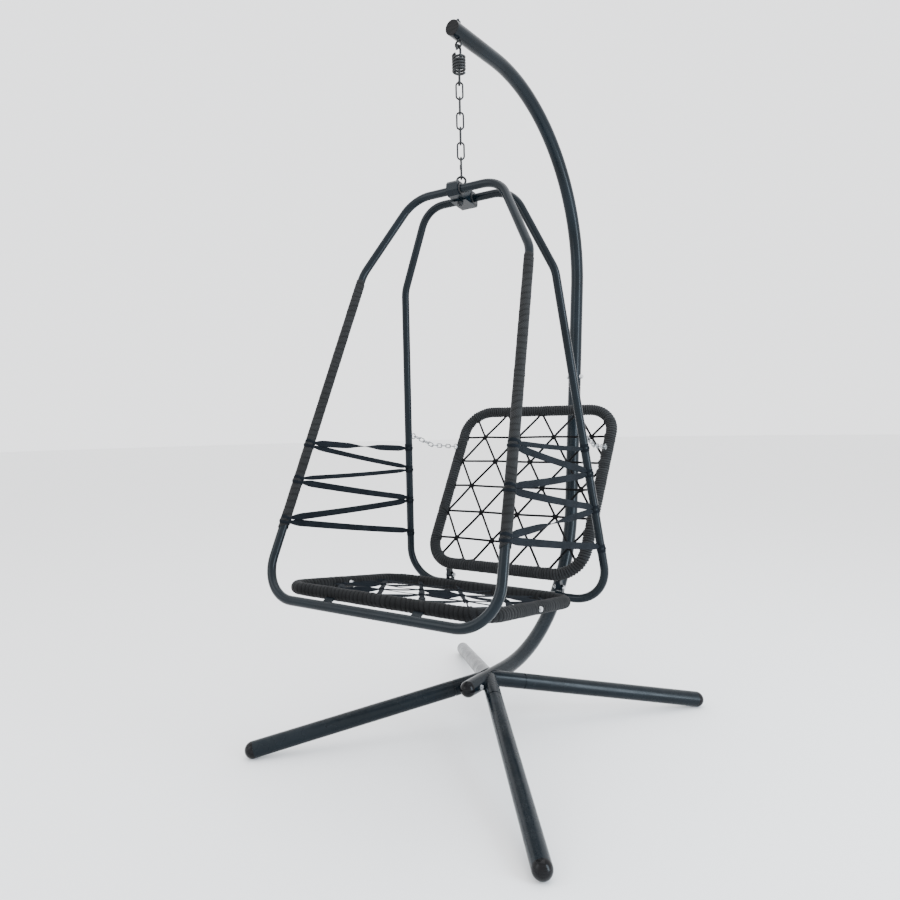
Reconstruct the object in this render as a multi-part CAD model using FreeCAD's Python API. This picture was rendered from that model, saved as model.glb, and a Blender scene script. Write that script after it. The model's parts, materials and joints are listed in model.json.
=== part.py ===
"""Hanging patio swing chair: a C-shaped pole on a sloping X base, a spring and chain,
and an open steel seat whose back reclines on two side chains.  Millimetres, +Z up,
front towards -Y, origin on the floor at the middle of the whole footprint."""
import FreeCAD, Part
import os
from math import atan2, cos, degrees, hypot, pi, radians, sin, sqrt, tan

V = FreeCAD.Vector
X, Y, Z = V(1, 0, 0), V(0, 1, 0), V(0, 0, 1)
GAP = 0.3                       # running gap between touching round parts

# stand
POLE_R = 21.0                   # all stand tubes are 42 mm
POLE_WALL = 1.5
HUB_Y = -53.5                   # where the four legs meet, from the middle of the footprint
HUB_Z = 143.5
FOOT_FRONT = -100.0             # pole's front end, from the hub
POLE_LEAN = radians(6.8)        # upright part leans back
LEAN_CORNER_Y = 493.0           # where foot line and leaning line cross, from the hub
FOOT_BEND = 460.0
TOP_BEND = 530.0
TOP_Z = 1898.0
TOP_FRONT = -107.0              # pole's top end, from the hub
SEAM_Z = 955.0                  # where the two pole halves plug together
NECK_LEN = 60.0
LEG_TURN = radians(40.6)        # leg from straight ahead, seen from above
LEG_REACH = 629.0               # hub to the middle of the cap's dome, seen from above
STUB_LEN = 100.0
NECK_GAP = 3.0                  # visible necks between plugged tubes
BASE_BOLT_Y = -71.0             # bolt through the foot, just in front of the stubs

# suspension, from the top down
HOOK_Y = -79.4                 # hanging line, from the hub
EYE_Z = 1855.0                  # lowest wire centre of the pole's eye
EYE_MEAN = 9.2
EYE_WIRE = 2.8
SPRING_WIRE = 3.3
SPRING_MEAN = 15.7
SPRING_TOP = 1833.5
SPRING_BOTTOM = 1788.5
HOOK_MEAN = 8.5
LOWER_HOOK_Z = 1754.0           # lowest wire centre of the spring's lower hook
CHAIN_TURN = radians(38)        # first link's plane, from X
LINK_WIRE = 2.4
LINK_LEN = 46.1                 # between the wire centres of its ends
LINK_HALF = 8.9
LINKS = 5
CLIP_WIRE = 2.5
CLIP_LEN = 57.8
CLIP_TOP_HALF = 6.5
CLIP_LOW_HALF = 9.5

# chair, about the clip's lowest wire centre, before it tilts
TILT = radians(-7.17)           # the back's weight lifts the front
TWIST = radians(3.55)           # the chair hangs turned a little about the chain
CHAIR_SHIFT = 5.3               # the top bars sit a little behind the bolt
RING_MEAN = 11.5
RING_WIRE = 3.0
TOP_BAR_Z = -42.3
TOP_BAR_Y = 33.4
TUBE_R = 11.0                   # chair tubes are 22 mm
TUBE_WALL = 1.5
HOOP_DROP = 1061.4
HOOP_SPREAD = 315.7             # bottom bar from the middle plane
HOOP_TOP = (132.2, 0.0, 85.0)   # hoop corners: half width, drop down the slope, radius
HOOP_SHOULDER = {-1: (249.0, 223.2, 90.0), 1: (235.5, 223.2, 90.0)}     # front and rear
HOOP_FOOT = (315.5, 1098.3, 90.0)
FRONT_WRAP = (243.0, 936.0)     # wrapped stretch, down the slope
FRONT_WRAP_R = 12.6
SEAT_HALF = 270.0
SEAT_CORNER = 60.0
SEAT_WRAP_R = 15.0
SEAT_FRONT = (-280.0, -1080.0)
SEAT_REAR = (165.0, -1090.0)
SEAT_JOINT = 20.0               # plug joint, behind the middle of the sides
BRACKET_X = 120.0               # seat's carriers, from the middle plane
HINGE_X = 175.0
HINGE_RISE = 24.0               # pivot above the rear bottom bar's centre
BACK_LEAN = radians(26.1)
BACK_START = (296.8, -1045.2)   # the back's bottom bar
BACK_LEN = 538.0
BACK_LOW_HALF = 240.3
BACK_TOP_HALF = 252.0
BACK_CORNER = 82.0
BACK_WRAP_R = 17.0
NET_KNOT_STEP = 120.5           # between knots along a row
BACK_NET_ROWS = (82.0, 89.5, 5) # first row above the bottom bar, row step, rows
BACK_NET_SHIFT = 12.0           # the back's knots lie a little off the middle
SEAT_NET_ROWS = (89.0, 89.0, 4)
CORD_R = 2.6
RIBBON_W = 15.0
RIBBON_T = 1.6
STRAP_W = 17.0
STRAP_T = 1.6
STRAP_GAP = 6.5                 # from a tube's surface to the flat strap, clear of its knot
STRAP_REAR = (664.0, 728.0, 820.0, 920.0)   # knots below the top bars, rear tube
STRAP_FRONT = (692.0, 784.0, 883.0)         # and front tube
SIDE_EYE_DROP = 629.0           # chain eye on the rear hoop
SIDE_EYE_RISE = 402.0           # chain eye up the back's side
SIDE_EYE_MEAN = 8.0
SIDE_EYE_STEM = 2.0             # bare shank between the tube and the eye's ring
SIDE_WIRE = 1.5
SIDE_HALF = 5.5
SIDE_LINKS = (4, 5)             # in the front and rear parts of a side chain
SIDE_SAG = 14.0

FIRST_LINK_TOP = LOWER_HOOK_Z + SPRING_WIRE + LINK_WIRE + GAP
PITCH = LINK_LEN - 2 * LINK_WIRE - GAP
LINK_TOPS = [FIRST_LINK_TOP - i * PITCH for i in range(LINKS)]
CLIP_TOP_Z = LINK_TOPS[-1] - LINK_LEN + LINK_WIRE + CLIP_WIRE + GAP
PIVOT = V(0, HUB_Y + HOOK_Y, CLIP_TOP_Z - CLIP_LEN)
SLOPE = atan2(HOOP_SPREAD - TOP_BAR_Y, HOOP_DROP)
HINGE = V(0, HOOP_SPREAD, TOP_BAR_Z - HOOP_DROP + HINGE_RISE)
BACK_UP = V(0, sin(BACK_LEAN), cos(BACK_LEAN))
BACK_OUT = V(0, cos(BACK_LEAN), -sin(BACK_LEAN))
BACK_FOOT = V(0, *BACK_START)
SEAT_ORIGIN = V(0, *SEAT_FRONT)
SEAT_DEPTH = hypot(SEAT_REAR[0] - SEAT_FRONT[0], SEAT_REAR[1] - SEAT_FRONT[1])
SEAT_BACKWARD = (V(0, *SEAT_REAR) - SEAT_ORIGIN) * (1 / SEAT_DEPTH)
SEAT_UP = X.cross(SEAT_BACKWARD)


# ---------- shapes ----------

def unit(vector):
    return vector * (1 / vector.Length)


def rod(start, end, radius):
    return Part.makeCylinder(radius, (end - start).Length, start, end - start)


def pipe_piece(start, end, outer, inner):
    return rod(start, end, outer).cut(rod(start, end, inner))


def box_on(centre, along, across, size):
    """Box of size (along, across, up) centred on a point."""
    along = unit(along)
    up = unit(along.cross(across))
    across = up.cross(along)
    low = centre - along * (size[0] / 2) - across * (size[1] / 2) - up * (size[2] / 2)
    shape = Part.makeBox(*size)
    shape.Placement = FreeCAD.Placement(low, FreeCAD.Rotation(along, across, up, "XYZ"))
    return shape


def rounded_path(points, radii, closed=False):
    """Wire through the points with each corner rounded; zero-length runs are left out."""
    count = len(points)
    ends = []
    for i in range(count):
        before, here, after = points[i - 1], points[i], points[(i + 1) % count]
        if radii[i] == 0 or (not closed and i in (0, count - 1)):
            ends.append((here, here, None))
            continue
        back, ahead = unit(before - here), unit(after - here)
        half = back.getAngle(ahead) / 2
        reach = radii[i] / tan(half)
        middle = here + unit(back + ahead) * (radii[i] / sin(half) - radii[i])
        ends.append((here + back * reach, here + ahead * reach, middle))
    edges = []
    for i, (start, end, middle) in enumerate(ends):
        if middle is not None:
            edges.append(Part.Arc(start, middle, end).toShape())
        if i == count - 1 and not closed:
            break
        following = ends[(i + 1) % count][0]
        if (following - end).Length > 1e-4:
            edges.append(Part.LineSegment(end, following).toShape())
    return Part.Wire(edges)


def sweep(path, radius):
    """Round bar along a wire."""
    first = path.OrderedEdges[0]
    start = first.valueAt(first.FirstParameter)
    direction = first.tangentAt(first.FirstParameter)
    ring = Part.Wire([Part.makeCircle(radius, start, direction)])
    solid = path.makePipeShell([ring], True, False)
    if solid.Volume < 0:
        solid.reverse()
    return solid


def tube(path, outer, inner):
    return sweep(path, outer).cut(sweep(path, inner))


def group(solids):
    return Part.makeCompound(solids)


def fused(solids):
    return solids[0].fuse(solids[1:]).removeSplitter()


def loop_link(top, down, side, length, half, wire):
    """Chain link: top is its first end's wire centre, down its long axis, side its width."""
    corners = [top + side * half, top + down * length + side * half,
               top + down * length - side * half, top - side * half]
    near = half - 0.01
    return sweep(rounded_path(corners, [near] * 4, closed=True), wire)


def ring(centre, normal, mean, wire):
    return Part.makeTorus(mean, wire, centre, normal)


def hex_nut(base, axis, across_flats, height):
    axis = unit(axis)
    side = unit(axis.cross(X) if abs(axis.dot(X)) < 0.9 else axis.cross(Z))
    other = axis.cross(side)
    reach = across_flats / sqrt(3)
    corners = [base + side * (reach * cos(i * pi / 3)) + other * (reach * sin(i * pi / 3))
               for i in range(7)]
    return Part.Face(Part.makePolygon(corners)).extrude(axis * height)


def cross_bolt(centre, axis, grip, radius):
    """Bolt through a tube: domed head at one side, washers, and a nut at the other."""
    axis = unit(axis)
    head_end, nut_end = centre - axis * (grip / 2), centre + axis * (grip / 2)
    head = rod(head_end - axis * 1.5, head_end, radius * 2.1)
    dome = Part.makeSphere(radius * 2.0, head_end - axis * 1.5).common(
        rod(head_end - axis * 1.5, head_end - axis * (1.5 + radius), radius * 1.8))
    shank = rod(head_end - axis * 1.5, nut_end + axis * 8.0, radius)
    bolt = fused([head, dome, shank])
    nut = fused([rod(nut_end, nut_end + axis * 1.5, radius * 2.1),
                 hex_nut(nut_end + axis * 1.5, axis, radius * 3.3, radius * 1.6)])
    return group([bolt, nut.cut(shank)])


# ---------- stand ----------

def hub(y, z):
    return V(0, HUB_Y + y, z)


def lean_point(z):
    return hub(LEAN_CORNER_Y + (z - HUB_Z) * tan(POLE_LEAN), z)


def up_pole():
    return V(0, sin(POLE_LEAN), cos(POLE_LEAN))


def lower_pole():
    foot = hub(FOOT_FRONT, HUB_Z)
    corner = hub(LEAN_CORNER_Y, HUB_Z)
    seam = lean_point(SEAM_Z)
    path = rounded_path([foot, corner, seam], [0, FOOT_BEND, 0])
    body = tube(path, POLE_R, POLE_R - POLE_WALL)
    neck = pipe_piece(seam - up_pole() * 20, seam + up_pole() * NECK_LEN,
                      POLE_R - POLE_WALL - GAP, POLE_R - 2 * POLE_WALL - GAP)
    step = pipe_piece(seam - up_pole() * 20, seam - up_pole() * 14,
                      POLE_R - POLE_WALL, POLE_R - 2 * POLE_WALL - GAP)
    shape = fused([body, neck, step])
    bolt_hole = rod(hub(BASE_BOLT_Y, HUB_Z) - X * 30, hub(BASE_BOLT_Y, HUB_Z) + X * 30, 3 + GAP)
    return shape.cut(fused([bolt_hole, joint_bolt_hole()]))


def joint_bolt_centre():
    return lean_point(SEAM_Z + 34)


def joint_bolt_hole():
    return rod(joint_bolt_centre() - X * 30, joint_bolt_centre() + X * 30, 4 + GAP)


def upper_pole():
    start = lean_point(SEAM_Z) + up_pole() * NECK_GAP
    corner = lean_point(TOP_Z)
    end = hub(TOP_FRONT, TOP_Z)
    path = rounded_path([start, corner, end], [0, TOP_BEND, 0])
    body = tube(path, POLE_R, POLE_R - POLE_WALL)
    eye_hole = rod(hub(HOOK_Y, TOP_Z - 30), hub(HOOK_Y, TOP_Z + 30), 4 + GAP)
    return body.cut(fused([eye_hole, joint_bolt_hole()]))


def leg_direction(side, fore):
    fall = atan2(HUB_Z - POLE_R, LEG_REACH)
    flat = V(side * sin(LEG_TURN), fore * cos(LEG_TURN), 0)
    return flat * cos(fall) - Z * sin(fall)


def leg_length():
    return hypot(LEG_REACH, HUB_Z - POLE_R)


CORNERS = {"front_left": (-1, -1), "front_right": (1, -1), "rear_left": (-1, 1), "rear_right": (1, 1)}


def base_stubs():
    """Four stubs coped and welded to the pole's foot, each with a neck the leg slides over."""
    centre = hub(0, HUB_Z)
    stubs, bores = [], []
    for side, fore in CORNERS.values():
        along = leg_direction(side, fore)
        stubs.append(rod(centre, centre + along * STUB_LEN, POLE_R))
        stubs.append(rod(centre + along * STUB_LEN, centre + along * (STUB_LEN + 50),
                         POLE_R - POLE_WALL - GAP))
        bores.append(rod(centre + along * 45, centre + along * (STUB_LEN + 51),
                         POLE_R - 2 * POLE_WALL - GAP))
    pole = rod(hub(FOOT_FRONT, HUB_Z), hub(160, HUB_Z), POLE_R + 0.02)
    return fused(stubs).cut(fused([pole] + bores))


def leg(side, fore):
    along = leg_direction(side, fore)
    start = hub(0, HUB_Z) + along * (STUB_LEN + NECK_GAP)
    end = hub(0, HUB_Z) + along * (leg_length() - 1.5)
    return pipe_piece(start, end, POLE_R, POLE_R - POLE_WALL)


def end_cap(end, outward):
    """Domed plastic plug, flush with its tube."""
    dome = Part.makeSphere(POLE_R, end).common(rod(end, end + outward * 25, 30))
    collar = rod(end - outward * 1.5, end, POLE_R)
    plug = rod(end - outward * 18, end - outward * 1.5, POLE_R - POLE_WALL - 0.1)
    return fused([dome, collar, plug])


def leg_cap(side, fore):
    along = leg_direction(side, fore)
    return end_cap(hub(0, HUB_Z) + along * leg_length(), along)


def foot_cap():
    return end_cap(hub(FOOT_FRONT - 1.5, HUB_Z), -Y)


def pole_end_cap():
    end = hub(TOP_FRONT, TOP_Z)
    disc = rod(end - Y * 3, end, POLE_R)
    disc = disc.makeFillet(1.2, [e for e in disc.Edges if abs(e.CenterOfMass.y - (end.y - 3)) < 0.1])
    return fused([disc, rod(end, end + Y * 12, POLE_R - POLE_WALL - 0.1)])


def hanging_eye():
    """Eye bolt down through the pole's top end."""
    centre = hub(HOOK_Y, EYE_Z + EYE_MEAN)
    shank = rod(centre + Z * EYE_MEAN, hub(HOOK_Y, TOP_Z + POLE_R + 14), 4)
    return fused([ring(centre, Y, EYE_MEAN, EYE_WIRE), shank])


def hanging_eye_nut():
    base = hub(HOOK_Y, TOP_Z + POLE_R)
    washer = rod(base, base + Z * 1.6, 8.5)
    saddle = rod(base - Z * 3, base, 8.5).cut(rod(base - Z * POLE_R - Y * 20,
                                                  base - Z * POLE_R + Y * 20, POLE_R + 0.02))
    nut = hex_nut(base + Z * 1.6, Z, 13, 6.5)
    return fused([washer, saddle, nut]).cut(rod(base - Z * 5, base + Z * 20, 4))


# ---------- suspension ----------

def turned(angle):
    return V(cos(angle), sin(angle), 0)


FACE = turned(CHAIN_TURN)               # width of links 1, 3 and 5
EDGE = turned(CHAIN_TURN + pi / 2)      # width of links 2 and 4, the lower hook and the clip


def coil_end_angle():
    return CHAIN_TURN - pi / 2


def spring_coil():
    turns = 5 + (degrees(coil_end_angle()) + 360 - 90) / 360
    height = SPRING_TOP - SPRING_BOTTOM
    helix = Part.makeHelix(height / turns, height, SPRING_MEAN)
    section = Part.Wire([Part.makeCircle(SPRING_WIRE, V(SPRING_MEAN, 0, 0),
                                         V(0, 2 * pi * SPRING_MEAN, height / turns))])
    coil = Part.Wire(helix).makePipeShell([section], True, True)
    coil.rotate(V(), Z, degrees(coil_end_angle()) - 360 * turns)
    coil.rotate(V(), X, 180)
    coil.translate(hub(HOOK_Y, SPRING_TOP))
    return coil


def spring_hook(reach):
    """Bar from inside the coil to a stem, which goes up and round a half circle."""
    turn = reach - HOOK_MEAN
    foot, near, far = [Y * y + Z * z for y, z in ((HOOK_MEAN, -SPRING_WIRE), (HOOK_MEAN, turn),
                                                  (-HOOK_MEAN, turn))]
    path = Part.Wire([Part.LineSegment(foot, near).toShape(),
                      Part.Arc(near, Z * reach, far).toShape(),
                      Part.LineSegment(far, far - Z * 6).toShape()])
    bar = rod(Y * (SPRING_MEAN - SPRING_WIRE - 0.6), Y * HOOK_MEAN, SPRING_WIRE - 0.4)
    return fused([sweep(path, SPRING_WIRE), bar])


def spring_top_hook():
    hook = spring_hook(EYE_Z + EYE_WIRE + SPRING_WIRE + GAP - SPRING_TOP)
    return hook.translated(hub(HOOK_Y, SPRING_TOP))


def spring_lower_hook():
    """The same hook upside down, turned so that its stem is opposite EDGE."""
    hook = spring_hook(SPRING_BOTTOM - LOWER_HOOK_Z)
    hook.rotate(V(), Y, 180)
    hook.rotate(V(), Z, degrees(CHAIN_TURN) + 180)
    return hook.translated(hub(HOOK_Y, SPRING_BOTTOM))


def chain_link(index):
    side = FACE if index % 2 == 0 else EDGE
    top = hub(HOOK_Y, LINK_TOPS[index])
    return loop_link(top, -Z, side, LINK_LEN, LINK_HALF, LINK_WIRE)


def clip_point(across, height):
    return PIVOT + EDGE * across + Z * height


def clip_body():
    points = [clip_point(CLIP_LOW_HALF, 12), clip_point(CLIP_LOW_HALF, 0),
              clip_point(-CLIP_LOW_HALF, 0), clip_point(-CLIP_TOP_HALF, CLIP_LEN),
              clip_point(CLIP_TOP_HALF, CLIP_LEN), clip_point(CLIP_TOP_HALF, CLIP_LEN - 9)]
    path = rounded_path(points, [0, CLIP_LOW_HALF - 0.6, CLIP_LOW_HALF - 0.6,
                                 CLIP_TOP_HALF - 0.4, CLIP_TOP_HALF - 0.4, 0])
    return sweep(path, CLIP_WIRE)


def clip_gate():
    low, high = clip_point(CLIP_LOW_HALF, 13.2), clip_point(CLIP_TOP_HALF, CLIP_LEN - 9.6)
    along = unit(high - low)
    middle = (low + high) * 0.5
    sleeve = rod(middle - along * 2, middle + along * 10, 3.6)
    return fused([rod(low, high, CLIP_WIRE - 0.3), sleeve])


# ---------- chair ----------

def placed(shape, shift=CHAIR_SHIFT):
    """From the upright chair to where it hangs."""
    shape = shape.copy()
    shape.translate(Y * shift)
    shape.rotate(V(), X, degrees(TILT))
    shape.rotate(V(), Z, degrees(TWIST))
    shape.translate(PIVOT)
    return shape


def hoop_point(fore, across, down):
    return V(across, fore * (TOP_BAR_Y + down * sin(SLOPE)), TOP_BAR_Z - down * cos(SLOPE))


def hoop(fore):
    outline = [HOOP_TOP, HOOP_SHOULDER[fore], HOOP_FOOT]
    right = [(hoop_point(fore, x, s), r) for x, s, r in outline]
    left = [(hoop_point(fore, -x, s), r) for x, s, r in reversed(outline)]
    points = [p for p, r in right + left]
    radii = [r for p, r in right + left]
    return tube(rounded_path(points, radii, closed=True), TUBE_R, TUBE_R - TUBE_WALL)


def hoop_side(fore, side, drop):
    """Centre of a hoop's long side, a drop below the top bars."""
    (x0, s0), (x1, s1) = HOOP_SHOULDER[fore][:2], HOOP_FOOT[:2]
    down = drop / cos(SLOPE)
    return hoop_point(fore, side * (x0 + (x1 - x0) * (down - s0) / (s1 - s0)), down)


def side_direction(fore, side):
    return unit(hoop_side(fore, side, 900) - hoop_side(fore, side, 400))


def front_wrap(side):
    start, end = [hoop_side(-1, side, s * cos(SLOPE)) for s in FRONT_WRAP]
    return pipe_piece(start, end, FRONT_WRAP_R, TUBE_R + 0.1)


def bracket():
    """Block that both top bars pass through, with a lip below."""
    depth, top, low = 58.0, -24.0, -62.0
    profile = [V(0, -depth + 4, top - 7), V(0, -depth + 9, top),
               V(0, depth - 10, top), V(0, depth, top - 10), V(0, depth, low + 6),
               V(0, depth - 6, low), V(0, -depth + 16, low), V(0, -depth + 4, low + 12)]
    block = Part.Face(Part.makePolygon(profile + profile[:1])).extrude(X * 34)
    block.translate(X * -17)
    lip = box_on(V(0, 14, low - 2), X, Y, (46, 60, 4))
    block = fused([block, lip])
    for y in (-TOP_BAR_Y, TOP_BAR_Y):
        block = block.cut(rod(V(-20, y, TOP_BAR_Z), V(20, y, TOP_BAR_Z), TUBE_R + 3.0))
    bolt = V(0, -CHAIR_SHIFT, 0)
    return block.cut(rod(bolt - Z * 80, bolt, 4 + GAP))


def bracket_bush(y):
    sleeve = pipe_piece(V(-17, y, TOP_BAR_Z), V(17, y, TOP_BAR_Z), TUBE_R + 2.98, TUBE_R + 0.05)
    rims = [pipe_piece(V(side * 17, y, TOP_BAR_Z), V(side * 20, y, TOP_BAR_Z),
                       TUBE_R + 5.0, TUBE_R + 0.05) for side in (-1, 1)]
    return fused([sleeve] + rims)


def swivel_eye():
    centre = V(0, 0, CLIP_WIRE + RING_WIRE + GAP - RING_MEAN)
    low = centre - Z * RING_MEAN
    eye = ring(centre, turned(CHAIN_TURN + pi / 2 - TWIST), RING_MEAN, RING_WIRE)
    collar = rod(V(0, 0, -24 + GAP), V(0, 0, -20.5), 7)
    return fused([eye, rod(low, V(0, 0, -78), 4), collar])


def swivel_nut():
    washer = rod(V(0, 0, -66 - GAP), V(0, 0, -68), 8)
    nut = hex_nut(V(0, 0, -68), -Z, 13, 6.5)
    return fused([washer, nut]).cut(rod(V(0, 0, -80), V(0, 0, -60), 4))


def seat_point(across, back, up=0.0):
    return SEAT_ORIGIN + X * across + SEAT_BACKWARD * back + SEAT_UP * up


def seat_u(rear, radius, trim):
    """Path of one U half of the seat ring; trim shortens both arms at the mid joint."""
    middle = SEAT_DEPTH / 2 + SEAT_JOINT + (trim if rear else -trim)
    far = SEAT_DEPTH if rear else 0
    points = [seat_point(-SEAT_HALF, middle), seat_point(-SEAT_HALF, far),
              seat_point(SEAT_HALF, far), seat_point(SEAT_HALF, middle)]
    return sweep(rounded_path(points, [0, SEAT_CORNER, SEAT_CORNER, 0]), radius)


def seat_tube(rear):
    shape = seat_u(rear, TUBE_R, 0.4).cut(seat_u(rear, TUBE_R - TUBE_WALL, 0.4))
    for side in (-1, 1) if rear else ():
        tip, mouth, root = [seat_point(side * SEAT_HALF, SEAT_DEPTH / 2 + SEAT_JOINT + d)
                            for d in (-40, 0.4, 20)]
        neck = [pipe_piece(tip, mouth, TUBE_R - TUBE_WALL - 0.1, TUBE_R - 2 * TUBE_WALL),
                pipe_piece(mouth, root, TUBE_R - TUBE_WALL, TUBE_R - 2 * TUBE_WALL)]
        shape = fused([shape] + neck)
    for side in (-1, 1):
        centre = seat_point(side * SEAT_HALF, SEAT_DEPTH / 2)
        shape = shape.cut(rod(centre - X * 20, centre + X * 20, 3 + GAP))
    return shape


def seat_wrap(rear):
    shape = seat_u(rear, SEAT_WRAP_R, 1.0).cut(seat_u(rear, TUBE_R + 0.1, 1.0))
    for side in (-1, 1):
        centre = seat_point(side * SEAT_HALF, SEAT_DEPTH / 2)
        shape = shape.cut(rod(centre - X * 20, centre + X * 20, 6.6))
    return shape


def seat_brackets():
    """Flat plates that carry the seat ring on the hoops' bottom bars."""
    solids = []
    for side in (-1, 1):
        for fore, back in ((-1, 0.0), (1, SEAT_DEPTH)):
            x = side * BRACKET_X
            rail = seat_point(x, back)
            bar = V(x, fore * HOOP_SPREAD, TOP_BAR_Z - HOOP_DROP)
            flat = box_on((rail + bar) * 0.5, bar - rail, X, ((bar - rail).Length, 24, 3))
            clear = [rod(rail - X * 40, rail + X * 40, SEAT_WRAP_R + 0.05),
                     rod(bar - X * 40, bar + X * 40, TUBE_R + 0.05)]
            solids.append(flat.cut(fused(clear)))
    return group(solids)


def seat_bolts():
    solids = []
    for side in (-1, 1):
        centre = seat_point(side * SEAT_HALF, SEAT_DEPTH / 2)
        solids += cross_bolt(centre, X * -side, 2 * SEAT_WRAP_R, 3.0).Solids
    return group(solids)


def inset(corners, radius):
    """Corners of a quad moved in by a radius; the rounded ring is this quad grown by it."""
    half_low, half_top, length = corners
    return [(-half_low + radius, radius), (half_low - radius, radius),
            (half_top - radius, length - radius), (-half_top + radius, length - radius)]


def distance_to_quad(quad, x, v):
    inside, nearest = True, 1e9
    for i in range(4):
        (ax, av), (bx, bv) = quad[i], quad[(i + 1) % 4]
        ex, ev = bx - ax, bv - av
        if ex * (v - av) - ev * (x - ax) < 0:
            inside = False
        t = max(0, min(1, ((x - ax) * ex + (v - av) * ev) / (ex * ex + ev * ev)))
        nearest = min(nearest, hypot(x - ax - t * ex, v - av - t * ev))
    return 0 if inside else nearest


def clipped(quad, reach, start, direction):
    """Stretch of a line that stays within reach of the quad, or None."""
    steps = [i * 5.0 for i in range(-240, 241)]
    inside = [t for t in steps
              if distance_to_quad(quad, start[0] + t * direction[0], start[1] + t * direction[1]) < reach]
    if len(inside) < 4:
        return None
    ends = []
    for good, step in ((inside[0], -1.0), (inside[-1], 1.0)):
        t = good
        while distance_to_quad(quad, start[0] + t * direction[0], start[1] + t * direction[1]) < reach:
            t += step * 0.25
        ends.append(t - step * 0.25)
    return [(start[0] + t * direction[0], start[1] + t * direction[1]) for t in ends]


def net_lines(corners, corner_radius, reach, rows, shift):
    """Three families of straight cords: along the rows and both ways across them."""
    first_row, pitch, count = rows
    quad = inset(corners, corner_radius)
    flat = [clipped(quad, reach, (0, first_row + pitch * k), (1, 0)) for k in range(count)]
    slant = unit(V(NET_KNOT_STEP / 2, pitch, 0))
    knots = [(shift + NET_KNOT_STEP * (k + 0.5), first_row) for k in range(-8, 8)]
    rising = [clipped(quad, reach, knot, (slant.x, slant.y)) for knot in knots]
    falling = [clipped(quad, reach, knot, (-slant.x, slant.y)) for knot in knots]
    return [[line for line in family if line] for family in (flat, rising, falling)]


def seat_net():
    corners = (SEAT_HALF, SEAT_HALF, SEAT_DEPTH)
    reach = SEAT_CORNER - SEAT_WRAP_R - 0.6 - RIBBON_W / 4
    solids = []
    for level, family in enumerate(net_lines(corners, SEAT_CORNER, reach, SEAT_NET_ROWS, 0)):
        up = (level - 1) * (RIBBON_T + 0.2)
        for start, end in family:
            a, b = seat_point(*start, up), seat_point(*end, up)
            solids.append(box_on((a + b) * 0.5, b - a, SEAT_UP.cross(b - a),
                                 ((b - a).Length - 6, RIBBON_W, RIBBON_T)))
    return group(solids)


def back_point(across, up, out=0.0):
    return BACK_FOOT + X * across + BACK_UP * up + BACK_OUT * out


def back_path():
    points = [back_point(-BACK_LOW_HALF, 0), back_point(BACK_LOW_HALF, 0),
              back_point(BACK_TOP_HALF, BACK_LEN), back_point(-BACK_TOP_HALF, BACK_LEN)]
    return rounded_path(points, [BACK_CORNER] * 4, closed=True)


def back_net():
    corners = (BACK_LOW_HALF, BACK_TOP_HALF, BACK_LEN)
    reach = BACK_CORNER - BACK_WRAP_R - 0.8 - CORD_R
    solids = []
    families = net_lines(corners, BACK_CORNER, reach, BACK_NET_ROWS, BACK_NET_SHIFT)
    for level, family in enumerate(families):
        out = (level - 1) * (2 * CORD_R + 0.2)
        solids += [rod(back_point(*start, out), back_point(*end, out), CORD_R)
                   for start, end in family]
    return group(solids)


def hinge_bracket(side):
    """U-shaped saddle clamped on the rear bottom bar, with two ears for the pivot."""
    bar = V(side * HINGE_X, HOOP_SPREAD, TOP_BAR_Z - HOOP_DROP)
    collar = pipe_piece(bar - X * 10, bar + X * 10, TUBE_R + 3, TUBE_R + 0.05)
    ears = []
    for ear in (-1, 1):
        centre = bar + X * (ear * 8.5) + Z * (HINGE_RISE / 2 + 5)
        plate = box_on(centre, X, Y, (3, 16, HINGE_RISE - 6))
        round_top = rod(bar + X * (ear * 8.5 - 1.5) + Z * HINGE_RISE,
                        bar + X * (ear * 8.5 + 1.5) + Z * HINGE_RISE, 8)
        ears += [plate, round_top]
    bar_hole = rod(bar - X * 20, bar + X * 20, TUBE_R + 0.05)
    pivot = rod(bar - X * 20 + Z * HINGE_RISE, bar + X * 20 + Z * HINGE_RISE, 3.0)
    return fused([collar] + ears).cut(fused([bar_hole, pivot]))


def hinge_pin(side):
    centre = HINGE + X * (side * HINGE_X)
    return cross_bolt(centre, X * -side, 20.0, 2.95)


def back_tab(side):
    """Flat lug welded under the back's bottom bar, turning on the pin."""
    centre = HINGE + X * (side * HINGE_X)
    low = rod(centre - X * 6.5, centre + X * 6.5, 7.5)
    top = back_point(side * HINGE_X, 0)
    across = unit((top - centre).cross(X))
    web = box_on((centre + top) * 0.5, X, across, (13, 15, (top - centre).Length))
    frame = sweep(Part.Wire([Part.LineSegment(top - X * 60, top + X * 60).toShape()]), BACK_WRAP_R + 0.02)
    return fused([low, web]).cut(fused([frame, rod(centre - X * 20, centre + X * 20, 3.03)]))


def strap(start, end, shorten):
    """Flat band between two tubes, narrowed where it is tied."""
    along = unit(end - start)
    start, end = start + along * shorten[0], end - along * shorten[1]
    length = (end - start).Length
    flat = V(0, along.z, -along.y)
    flat = unit(flat - along * flat.dot(along))
    taper = 26.0
    outline = [(0, 2.5), (taper, STRAP_W / 2), (length - taper, STRAP_W / 2), (length, 2.5)]
    outline += [(d, -w) for d, w in reversed(outline)]
    corners = [start + along * d + flat * w for d, w in outline]
    normal = unit(along.cross(flat))
    face = Part.Face(Part.makePolygon(corners + corners[:1]))
    return face.extrude(normal * STRAP_T).translated(normal * (-STRAP_T / 2))


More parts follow.
